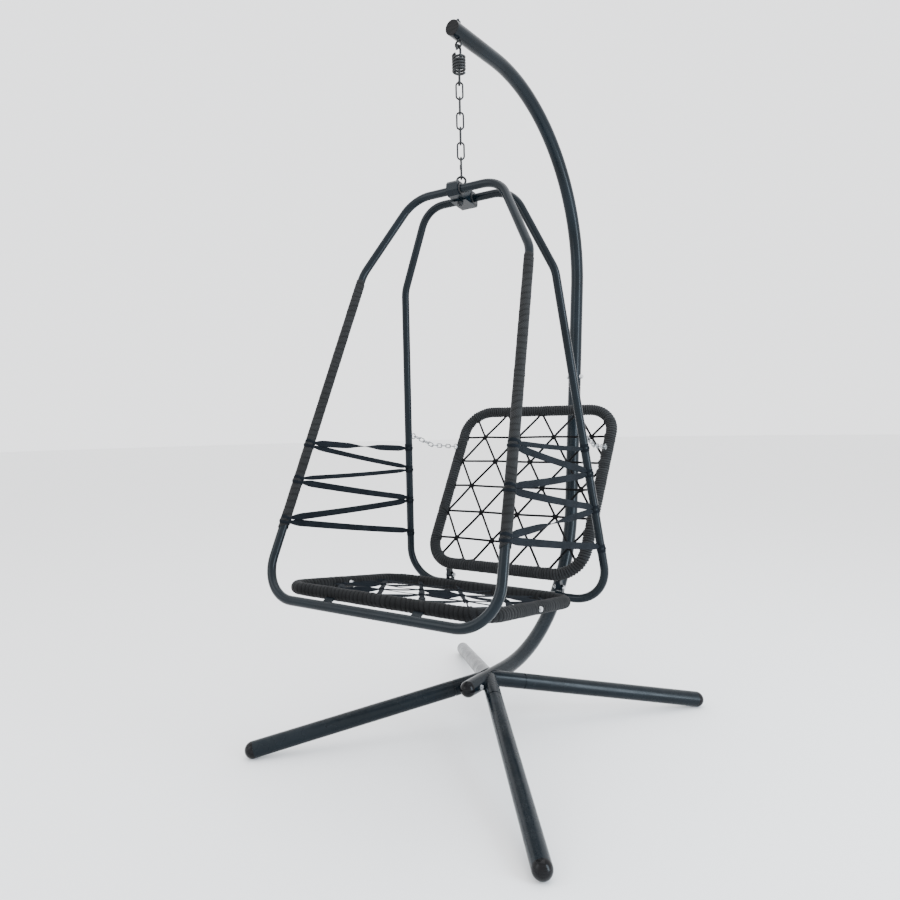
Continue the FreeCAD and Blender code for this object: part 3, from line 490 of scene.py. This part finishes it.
class Path:
    """A flat path that gives its place, direction and sideways direction at any length."""

    def __init__(self, points, radii, normal, closed):
        self.line, self.length = rounded(points, radii, closed, PATH_STEP)
        self.normal, self.closed = normal, closed
        run = np.gradient(self.line, axis=0)
        if closed:
            run[0] = run[-1] = self.line[1] - self.line[-2]
        self.run = run / np.linalg.norm(run, axis=1)[:, None]
        self.marks = np.linspace(0, self.length, len(self.line))

    def at(self, lengths):
        s = lengths % self.length if self.closed else lengths
        s_in = np.clip(s, 0, self.length)
        place = np.stack([np.interp(s_in, self.marks, self.line[:, k]) for k in range(3)], -1)
        run = np.stack([np.interp(s_in, self.marks, self.run[:, k]) for k in range(3)], -1)
        run /= np.linalg.norm(run, axis=-1)[..., None]
        return place, run, np.cross(self.normal, run)


def wound(piece, path, outer, pitch, bumps, round_top, slack=0.06, flatness=2.4):
    """A tube wound with rope or band.  Rows follow the groove, so every turn keeps its shape."""
    shares = np.array([0.0, 0.05, 0.18, 0.38, 0.62, 0.82, 0.95])
    per_turn = len(shares)
    turns = int(round(path.length / pitch))
    pitch = path.length / turns
    widths = 1 + RANDOM.normal(0, slack, turns)
    marks = np.append(0, np.cumsum(widths)) * (path.length / widths.sum())
    height = RANDOM.normal(0, slack, turns) * (outer - TUBE_R) * 0.5
    phase = (np.arange(turns)[:, None] + shares[None]).ravel()
    if not path.closed:
        phase = np.append(phase, turns)
    around, bare = WRAP_SIDES, TUBE_R
    angle = np.arange(around) / around
    whole = phase[:, None] + angle[None]
    if path.closed:
        s = np.interp(whole % turns, np.arange(turns + 1), marks)
    else:
        s = np.interp(whole - 0.5, np.arange(turns + 1), marks)
    crest = 1 - np.abs(2 * (phase % 1) - 1) ** flatness
    depth = (outer - bare) * round_top
    lift = np.interp(phase % turns, np.arange(turns) + 0.5, height)
    radius = (outer - depth * (1 - crest) + lift * crest)[:, None] + 0 * whole
    wobble = np.sin(s * 61.0) * 0.5 + np.sin(s * 23.7 + 1.3) * 0.5
    s = s + pitch * 0.35 * wobble * np.cos(2 * pi * angle)[None]
    for place, toward, size in bumps:
        away = s - place
        if path.closed:
            away = (away + path.length / 2) % path.length - path.length / 2
        face = 0.5 + 0.5 * np.cos(2 * pi * (angle[None] - toward))
        hump, dip = np.exp(-(away / HUMP) ** 2), np.exp(-((away - DIP_AT) / DIP) ** 2)
        radius = radius + size * (hump - 0.7 * dip) * face
        pushed = PUSH * np.exp(-(away / PUSH_REACH) ** 2)
        s = s + pushed * np.cos(2 * pi * (angle[None] - toward) + 1.0)
    if not path.closed:
        end = np.minimum(s, path.length - s)
        radius = np.minimum(radius, bare - 0.0008 + np.maximum(0, end + 0.0004) * 3.0)
        s = np.clip(s, 0, path.length)
    place, _, side = path.at(s)
    turn = (2 * pi * angle)[None, :, None]
    points = place + (side * np.cos(turn) + path.normal * np.sin(turn)) * radius[..., None]
    rows = len(phase)
    k, j = np.meshgrid(np.arange(rows if path.closed else rows - 1), np.arange(around), indexing="ij")

    def index(row, column):
        over = column // around
        row = row + over * per_turn
        inside = row < rows
        if path.closed:
            row, inside = row % rows, row >= 0
        return row * around + column % around, inside

    corners, good = zip(*[index(k + a, j + b) for a, b in ((0, 0), (0, 1), (1, 1), (1, 0))])
    good = np.all(good, axis=0)
    faces = np.stack(corners, -1)[good]
    share = np.append(shares, 1.0) * pitch
    low = share[k % per_turn][good]
    high = np.append(share[1:], share[1])[k % per_turn][good]
    girth = 2 * pi * outer
    start = ((k // per_turn) * girth + j / around * girth)[good]
    u = np.stack([start, start + girth / around, start + girth / around, start], -1)
    v = np.stack([low, low, high, high], -1)
    piece.add(points, faces, np.stack([u, v], -1))


def frames(line, hint):
    """Tangent, sideways and up at each point of a line, with as little twist as can be."""
    run = np.gradient(line, axis=0)
    run /= np.linalg.norm(run, axis=1)[:, None]
    side = [unit(np.cross(run[0], hint))]
    for direction in run[1:]:
        last = side[-1]
        side.append(unit(last - direction * (last @ direction)))
    side = np.array(side)
    return run, side, np.cross(run, side)


def cord(piece, line, radius, around=8, closed=False, hint=Z):
    """Round cord along points."""
    line = np.asarray(line, float)
    if closed:
        doubled = np.concatenate([line[-1:], line, line[:1]])
        run = doubled[2:] - doubled[:-2]
        run /= np.linalg.norm(run, axis=1)[:, None]
        middle = line.mean(0)
        side = line - middle
        side -= run * np.sum(run * side, axis=1)[:, None]
        side /= np.linalg.norm(side, axis=1)[:, None]
        up = np.cross(run, side)
    else:
        run, side, up = frames(line, hint)
    turn = np.linspace(0, 2 * pi, around + 1)[:-1]
    radius = np.broadcast_to(radius, len(line))[:, None, None]
    ring = side[:, None] * np.cos(turn)[None, :, None] + up[:, None] * np.sin(turn)[None, :, None]
    u = np.append(0, np.cumsum(np.linalg.norm(np.diff(line, axis=0), axis=1)))
    piece.grid(line[:, None] + ring * radius, u, 2 * pi * float(radius.max()), closed)


def band(piece, line, across, widths, thick, pleats=0.0, closed=False):
    """Flat band along points: across is its width's direction at each point."""
    line, across = np.asarray(line, float), np.asarray(across, float)
    run = np.roll(line, -1, 0) - np.roll(line, 1, 0) if closed else np.gradient(line, axis=0)
    run /= np.linalg.norm(run, axis=1)[:, None]
    across = across - run * np.sum(run * across, axis=1)[:, None]
    across /= np.linalg.norm(across, axis=1)[:, None]
    up = np.cross(run, across)
    spots = np.array([-1, -0.92, -0.6, -0.3, 0, 0.3, 0.6, 0.92, 1])
    flat = np.concatenate([spots, spots[::-1]])
    half = np.array([0.25, 0.8, 1, 1, 1, 1, 1, 0.8, 0.25])
    rise = np.concatenate([half, -half[::-1]])
    widths = np.broadcast_to(widths, len(line))[:, None]
    thick = np.broadcast_to(thick, len(line))[:, None]
    pleats = np.broadcast_to(pleats, len(line))[:, None]
    lift = rise[None] * thick / 2 + pleats * np.cos(flat * 7.5)[None]
    sideways = across[:, None] * (flat[None] * widths / 2)[..., None]
    points = line[:, None] + sideways + up[:, None] * lift[..., None]
    u = np.append(0, np.cumsum(np.linalg.norm(np.diff(line, axis=0), axis=1)))
    piece.grid(points, u, 2 * float(widths.max()), closed)


# ---------- the chair's lines ----------

def hoop_point(fore, across, down):
    return np.array([across, fore * (TOP_BAR_Y + down * sin(SLOPE)), TOP_BAR_Z - down * cos(SLOPE)])


def hoop_side(fore, side, drop):
    (x0, s0), (x1, s1) = HOOP_SHOULDER[fore], HOOP_FOOT
    down = drop / cos(SLOPE)
    return hoop_point(fore, side * (x0 + (x1 - x0) * (down - s0) / (s1 - s0)), down)


def side_direction(fore, side):
    return unit(hoop_side(fore, side, 0.9) - hoop_side(fore, side, 0.4))


def seat_point(across, back, up=0.0):
    return SEAT_FRONT + X * across + SEAT_BACK * back + SEAT_UP * up


def back_point(across, up, out=0.0):
    return BACK_FOOT + X * across + BACK_UP * up + BACK_OUT * out


def ring_reach(corners, corner_radius, reach, start, direction):
    """Both ends of a straight cord inside a rounded ring."""
    half_low, half_top, length = corners
    r = corner_radius
    quad = np.array([(-half_low + r, r), (half_low - r, r),
                     (half_top - r, length - r), (-half_top + r, length - r)])

    def outside(t):
        p = np.array(start) + t * np.array(direction)
        inside, nearest = True, 9.0
        for i in range(4):
            a, b = quad[i], quad[(i + 1) % 4]
            e = b - a
            if e[0] * (p[1] - a[1]) - e[1] * (p[0] - a[0]) < 0:
                inside = False
            f = np.clip((p - a) @ e / (e @ e), 0, 1)
            nearest = min(nearest, np.linalg.norm(p - a - f * e))
        return 0 if inside else nearest

    steps = [t for t in np.arange(-1.2, 1.2, 0.005) if outside(t) < reach]
    if len(steps) < 4:
        return None
    ends = []
    for good, step in ((steps[0], -0.0005), (steps[-1], 0.0005)):
        while outside(good + step) < reach:
            good += step
        ends.append(good)
    return ends


def net(corners, corner_radius, reach, rows, shift=0.0):
    """Cords of a triangular net: each is a list of points from rail to rail, knots between."""
    first, row, count = rows
    slant = unit(np.array([KNOT_STEP / 2, row]))
    lines = [((shift, first + row * k), np.array([1.0, 0]), KNOT_STEP / 2 if k % 2 == 0 else 0, KNOT_STEP)
             for k in range(count)]
    slant_step = np.hypot(KNOT_STEP / 2, row)
    for sign in (1, -1):
        direction = np.array([sign * slant[0], slant[1]])
        lines += [((shift + KNOT_STEP * (k + 0.5), first), direction, 0, slant_step)
                  for k in range(-8, 8)]
    cords = []
    for start, direction, offset, gap in lines:
        ends = ring_reach(corners, corner_radius, reach, start, direction)
        if not ends:
            continue
        low, high = ends[0] + KNOT_ROOM, ends[1] - KNOT_ROOM
        knots = [t for t in offset + gap * np.arange(-12, 13) if low < t < high]
        stops = [ends[0]] + knots + [ends[1]]
        cords.append([np.array(start) + t * direction for t in stops])
    return cords


def knot_places(cords):
    places = {}
    for line in cords:
        for p in line[1:-1]:
            places.setdefault((round(p[0], 3), round(p[1], 3)), p)
    return [places[key] for key in sorted(places)]


def trefoil(piece, centre, axes, size, radius, turn):
    """Small tied knot: three crossing loops, flattened along the last axis."""
    t = np.linspace(0, 2 * pi, 37)[:-1] + turn
    x = (np.sin(t) + 2 * np.sin(2 * t)) / 3 * size
    y = (np.cos(t) - 2 * np.cos(2 * t)) / 3 * size
    z = -np.sin(3 * t) * size * 0.32
    line = centre + x[:, None] * axes[0] + y[:, None] * axes[1] + z[:, None] * axes[2]
    cord(piece, hang(line), radius, 8, True)


# ---------- pieces ----------

def ring_bumps(path, cords, place, size):
    """Where cord ends are tied under a wrap: length along the path, side of the tube, height."""
    found = []
    for line in cords:
        for end, inner in ((line[0], line[1]), (line[-1], line[-2])):
            spot, inward = place(*end), unit(place(*inner) - place(*end))
            k = int(np.argmin(np.linalg.norm(path.line - spot, axis=1)))
            across = np.cross(path.normal, path.run[k])
            toward = 0.0 if across @ inward > 0 else 0.5
            found.append((path.marks[k], toward, size * RANDOM.uniform(0.5, 1.2)))
    return found


def back_ring(looks):
    corners = [back_point(-BACK_LOW, 0), back_point(BACK_LOW, 0), back_point(BACK_TOP, BACK_LEN),
               back_point(-BACK_TOP, BACK_LEN)]
    path = Path(corners, [BACK_CORNER] * 4, BACK_OUT, True)
    cords = net((BACK_LOW, BACK_TOP, BACK_LEN), BACK_CORNER, BACK_CORNER - BACK_WRAP_R + TUCK, BACK_ROWS,
               BACK_SHIFT)
    wrap = Piece()
    wound(wrap, path, BACK_WRAP_R, ROPE_PITCH, ring_bumps(path, cords, back_point, BACK_TIE), round_top=0.5)
    wrap.points = [hang(p) for p in wrap.points]
    wrap.make("back_rope_wrap", looks["shaded_back_rope"], "back", "rope_wrap", "back_wrap")
    strings, knots = Piece(), Piece()
    for line in cords:
        stretch_cord(strings, line, NET_CORD_R)
    for p in knot_places(cords):
        spin = RANDOM.uniform(0, 2 * pi)
        axes = (X * cos(spin) + BACK_UP * sin(spin), BACK_UP * cos(spin) - X * sin(spin), BACK_OUT)
        trefoil(knots, back_point(*p), axes, 2 * NET_CORD_R, NET_CORD_R * 0.9, spin)
    strings.make("back_net_cords", looks["net_cord"], "back", "net_cord", "back_net")
    knots.make("back_net_knots", looks["net_cord"], "back", "net_cord")


def stretch_cord(piece, stops, radius):
    """One cord through its knots, a little off line between them, into the wrap at both ends."""
    points = []
    for i, (a, b) in enumerate(zip(stops[:-1], stops[1:])):
        bow = RANDOM.uniform(-NET_BOW, NET_BOW)
        for t in np.linspace(0, 1, 9)[:-1]:
            out = bow * sin(pi * t) + NET_BOW * (-1) ** i * cos(pi * t)
            points.append(back_point(*(a + (b - a) * t), out))
    points.append(back_point(*stops[-1]))
    first, last = unit(points[0] - points[1]), unit(points[-1] - points[-2])
    points = [points[0] + first * NET_INTO_WRAP] + points + [points[-1] + last * NET_INTO_WRAP]
    cord(piece, hang(points), radius, 8, hint=BACK_OUT)


def seat_ring(looks):
    corners = [seat_point(-SEAT_HALF, 0), seat_point(SEAT_HALF, 0), seat_point(SEAT_HALF, SEAT_DEPTH),
               seat_point(-SEAT_HALF, SEAT_DEPTH)]
    path = Path(corners, [SEAT_CORNER] * 4, SEAT_UP, True)
    cords = net((SEAT_HALF, SEAT_HALF, SEAT_DEPTH), SEAT_CORNER, SEAT_CORNER - SEAT_WRAP_R + TUCK,
                SEAT_ROWS)
    wrap = Piece()
    wound(wrap, path, SEAT_WRAP_R, SEAT_PITCH, ring_bumps(path, cords, seat_point, SEAT_TIE),
          round_top=0.24, slack=0.1, flatness=5.0)
    wrap.points = [hang(p) for p in wrap.points]
    wrap.make("seat_rope_wrap", looks["shaded_seat_rope"], "chair", "rope_wrap",
              "seat_front_wrap", "seat_rear_wrap")
    ribbons = Piece()
    for line in cords:
        for i, (a, b) in enumerate(zip(line[:-1], line[1:])):
            ribbon(ribbons, a, b, i == 0, i == len(line) - 2)
    knots = Piece()
    for p in knot_places(cords):
        spin = RANDOM.uniform(0, 2 * pi)
        axes = (X * cos(spin) + SEAT_BACK * sin(spin), SEAT_BACK * cos(spin) - X * sin(spin), SEAT_UP)
        trefoil(knots, seat_point(*p), axes, *RIBBON_KNOT, spin)
    ribbons.make("seat_net_ribbons", looks["flat_band"], "chair", "flat_band", "seat_net")
    knots.make("seat_net_knots", looks["flat_band"], "chair", "flat_band")


def ribbon(piece, a, b, starts, ends):
    """One stretch of seat ribbon between two knots or a knot and the rail, some turned on edge."""
    t = np.linspace(0, 1, 17)
    start, end = seat_point(*a), seat_point(*b)
    length = np.linalg.norm(end - start)
    sag = -RIBBON_SAG * np.sin(pi * t) * RANDOM.uniform(0.3, 1.6)
    line = start + (end - start) * t[:, None] + SEAT_UP * sag[:, None]
    flat = unit(np.cross(SEAT_UP, end - start))
    roll = RANDOM.uniform(-0.5, 0.5) + (RANDOM.uniform(0.5, 1.2) if RANDOM.random() < 0.2 else 0)
    angle = roll * np.sin(pi * t) ** 0.7
    across = flat * np.cos(angle)[:, None] + SEAT_UP * np.sin(angle)[:, None]
    full = RIBBON_W * min(1.0, 0.45 + length / 0.12)
    widths = full * (0.2 + 0.8 * np.sin(pi * np.clip(t, 0, 1)) ** 0.7)
    if starts:
        widths = np.where(t < 0.5, np.maximum(widths, full * 0.55), widths)
    if ends:
        widths = np.where(t > 0.5, np.maximum(widths, full * 0.55), widths)
    pleats = 0.0011 * (1 - np.sin(pi * t) ** 0.6)
    band(piece, hang(line), across @ TURN.T, widths, RIBBON_T, pleats)


def front_wraps(looks):
    for name, side in (("left", -1), ("right", 1)):
        start, end = [hoop_side(-1, side, s * cos(SLOPE)) for s in FRONT_WRAP]
        run = unit(end - start)
        path = Path([start, end], [0, 0], unit(np.cross(run, X)), False)
        knots = [d / cos(SLOPE) - FRONT_WRAP[0] for d in STRAP_FRONT]
        wrap = Piece()
        wound(wrap, path, FRONT_WRAP_R, FRONT_PITCH, [(k, 0.5, FRONT_TIE) for k in knots],
              round_top=0.35, slack=0.16, flatness=9.0)
        wrap.points = [hang(p) for p in wrap.points]
        wrap.make("front_rope_wrap_" + name, looks["rope_wrap"], "chair", "rope_wrap", "front_wrap_" + name)


def tied_rings(piece, centre, along, toward, radius):
    """Crossed turns of band round a tube where the straps are tied."""
    side = unit(toward - along * (toward @ along))
    other = np.cross(along, side)
    turn = np.linspace(0, 2 * pi, 41)[:-1]
    for tilt, shift, lift in ((0.0068, -0.0015, 0.0002), (-0.0068, 0.001, 0.0010), (0.0012, 0.0065, 0.0002),
                              (-0.0015, -0.0072, 0.0002)):
        wander = tilt * np.cos(turn + 0.3) + shift
        reach = radius + lift + 0.0004 * np.sin(3 * turn + shift * 900)
        line = (centre + along * wander[:, None] + side * (np.cos(turn) * reach)[:, None]
                + other * (np.sin(turn) * reach)[:, None])
        across = np.broadcast_to(along, line.shape)
        band(piece, hang(line), across @ TURN.T, 0.0048 + 0.0008 * np.sin(turn), 0.0009, 0.0002, True)
    nub = centre + side * (radius + 0.0018)
    trefoil(piece, nub, (along, other, side), *STRAP_KNOT, 0.4)


def arm_straps(looks):
    for name, side in (("left", -1), ("right", 1)):
        rear = [hoop_side(1, side, d) for d in STRAP_REAR]
        front = [hoop_side(-1, side, d) for d in STRAP_FRONT]
        knots, straps = Piece(), Piece()
        for fore, places, radius in ((1, rear, TUBE_R), (-1, front, FRONT_WRAP_R)):
            toward = -fore * Y
            for centre in places:
                tied_rings(knots, centre, side_direction(fore, side), toward, radius)
        twisted = {(-1, 0, 0), (1, 2, 0)}
        narrow = {(-1, 0, 1): 0.8, (-1, 1, 0): 0.7, (1, 0, 0): 0.7}
        for i, point in enumerate(front):
            for half, (rear_point, lift) in enumerate(((rear[i], 0.004), (rear[i + 1], -0.004))):
                shift = side_direction(-1, side) * -lift
                width = STRAP_W * narrow.get((side, i, half), 1.0)
                strap(straps, rear_point - shift, point + shift, width, (side, i, half) in twisted)
        knots.make("arm_strap_knots_" + name, looks["flat_band"], "chair", "rope_wrap", "arm_knots_" + name)
        straps.make("arm_strap_bands_" + name, looks["flat_band"], "chair", "flat_band", "arm_straps_" + name)


def strap(piece, start, end, width, twisted):
    """Band from tube to tube: bunched where it is tied, flat between."""
    along = unit(end - start)
    start, end = start + along * (TUBE_R + 0.001), end - along * (FRONT_WRAP_R + 0.001)
    length = np.linalg.norm(end - start)
    t = np.linspace(0, 1, 49)
    from_end = np.minimum(t, 1 - t) * length
    open_share = np.sin(np.clip(from_end / STRAP_OPEN, 0, 1) * pi / 2)
    flat = np.array([0, along[2], -along[1]])
    flat = unit(flat - along * (flat @ along))
    out = np.cross(along, flat)
    sag = -STRAP_SAG * np.sin(pi * t)
    line = start + (end - start) * t[:, None] + Z * sag[:, None]
    roll = 0.12 * np.sin(2 * pi * t + length * 40) + (pi * np.clip((t - 0.3) / 0.4, 0, 1) if twisted else 0)
    across = flat * np.cos(roll)[:, None] + out * np.sin(roll)[:, None]
    widths = width * (0.3 + 0.7 * open_share)
    if twisted:
        widths = widths * (1 - 0.45 * np.exp(-((t - 0.5) / 0.14) ** 2))
    pleats = 0.0016 * (1 - open_share) + 0.0001
    band(piece, hang(line), across @ TURN.T, widths, STRAP_T + STRAP_BUNCH * (1 - open_share), pleats)


def weld_beads(looks):
    """Rippled fillet where each stub meets the pole's foot."""
    beads = Piece()
    fall = atan2(HUB[2] - POLE_R, LEG_REACH)
    for sx in (-1, 1):
        for sy in (-1, 1):
            d = np.array([sx * sin(LEG_TURN) * cos(fall), sy * cos(LEG_TURN) * cos(fall), -sin(fall)])
            e1 = unit(np.cross(d, Z))
            e2 = np.cross(d, e1)
            line = []
            for f in np.linspace(0, 2 * pi, 121)[:-1]:
                p = POLE_R * (cos(f) * e1 + sin(f) * e2)
                a, b = d[0] ** 2 + d[2] ** 2, p[0] * d[0] + p[2] * d[2]
                c = p[0] ** 2 + p[2] ** 2 - (POLE_R + 0.0003) ** 2
                t = (-b + max(0.0, b * b - a * c) ** 0.5) / a
                line.append(HUB + p * 1.01 + d * t)
            ripple = 0.0021 + 0.0003 * np.sin(np.arange(120) * pi * 0.5)
            cord(beads, np.array(line), ripple, 8, True)
    beads.make("weld_beads", looks["painted_steel"], "stand", "painted_steel")


def dress_cad_nodes(looks):
    slots = {row["node"]: row["material_slot"] for row in frame["record"]["subparts"]}
    for name, node in NODES.items():
        node.data.materials.clear()
        dull = name.startswith("side_chain") or name.endswith("_eyes")
        node.data.materials.append(looks["dull_zinc" if dull else slots[name]])


camera()
studio()
LOOKS = {
    "painted_steel": painted_steel(), "cap_plastic": cap_plastic(), "bush_plastic": bush_plastic(),
    "dark_steel": dark_steel(), "flat_band": webbing(),
    "zinc": zinc("zinc", (0.42, 0.43, 0.44), (0.74, 0.75, 0.76)),
    "dull_zinc": zinc("dull_zinc", (0.17, 0.18, 0.19), (0.34, 0.35, 0.36)),
    "rope_wrap": twisted_fibre("rope_wrap", (0.0095, 0.0098, 0.0102), (0.016, 0.0165, 0.017), 160.0, 700.0,
                               FRONT_PITCH, groove_shade_tone=0.7),
    # darker copy of the same rope for the back wrap: painted shade
    "shaded_back_rope": twisted_fibre("shaded_back_rope", (0.004, 0.0046, 0.0052), (0.009, 0.0102, 0.0115), 160.0, 700.0,
                               ROPE_PITCH, 1.32),
    # a still darker copy of the same rope for the seat wrap: painted shade
    "shaded_seat_rope": twisted_fibre("shaded_seat_rope", (0.0035, 0.0038, 0.0042), (0.0075, 0.008, 0.0088), 160.0, 700.0,
                               SEAT_PITCH, groove_shade_tone=0.45),
    "net_cord": twisted_fibre("net_cord", (0.002, 0.002, 0.0025), (0.005, 0.005, 0.006), 220.0, 900.0,
                              gloss=1.12),
}
dress_cad_nodes(LOOKS)
back_ring(LOOKS)
seat_ring(LOOKS)
front_wraps(LOOKS)
arm_straps(LOOKS)
weld_beads(LOOKS)
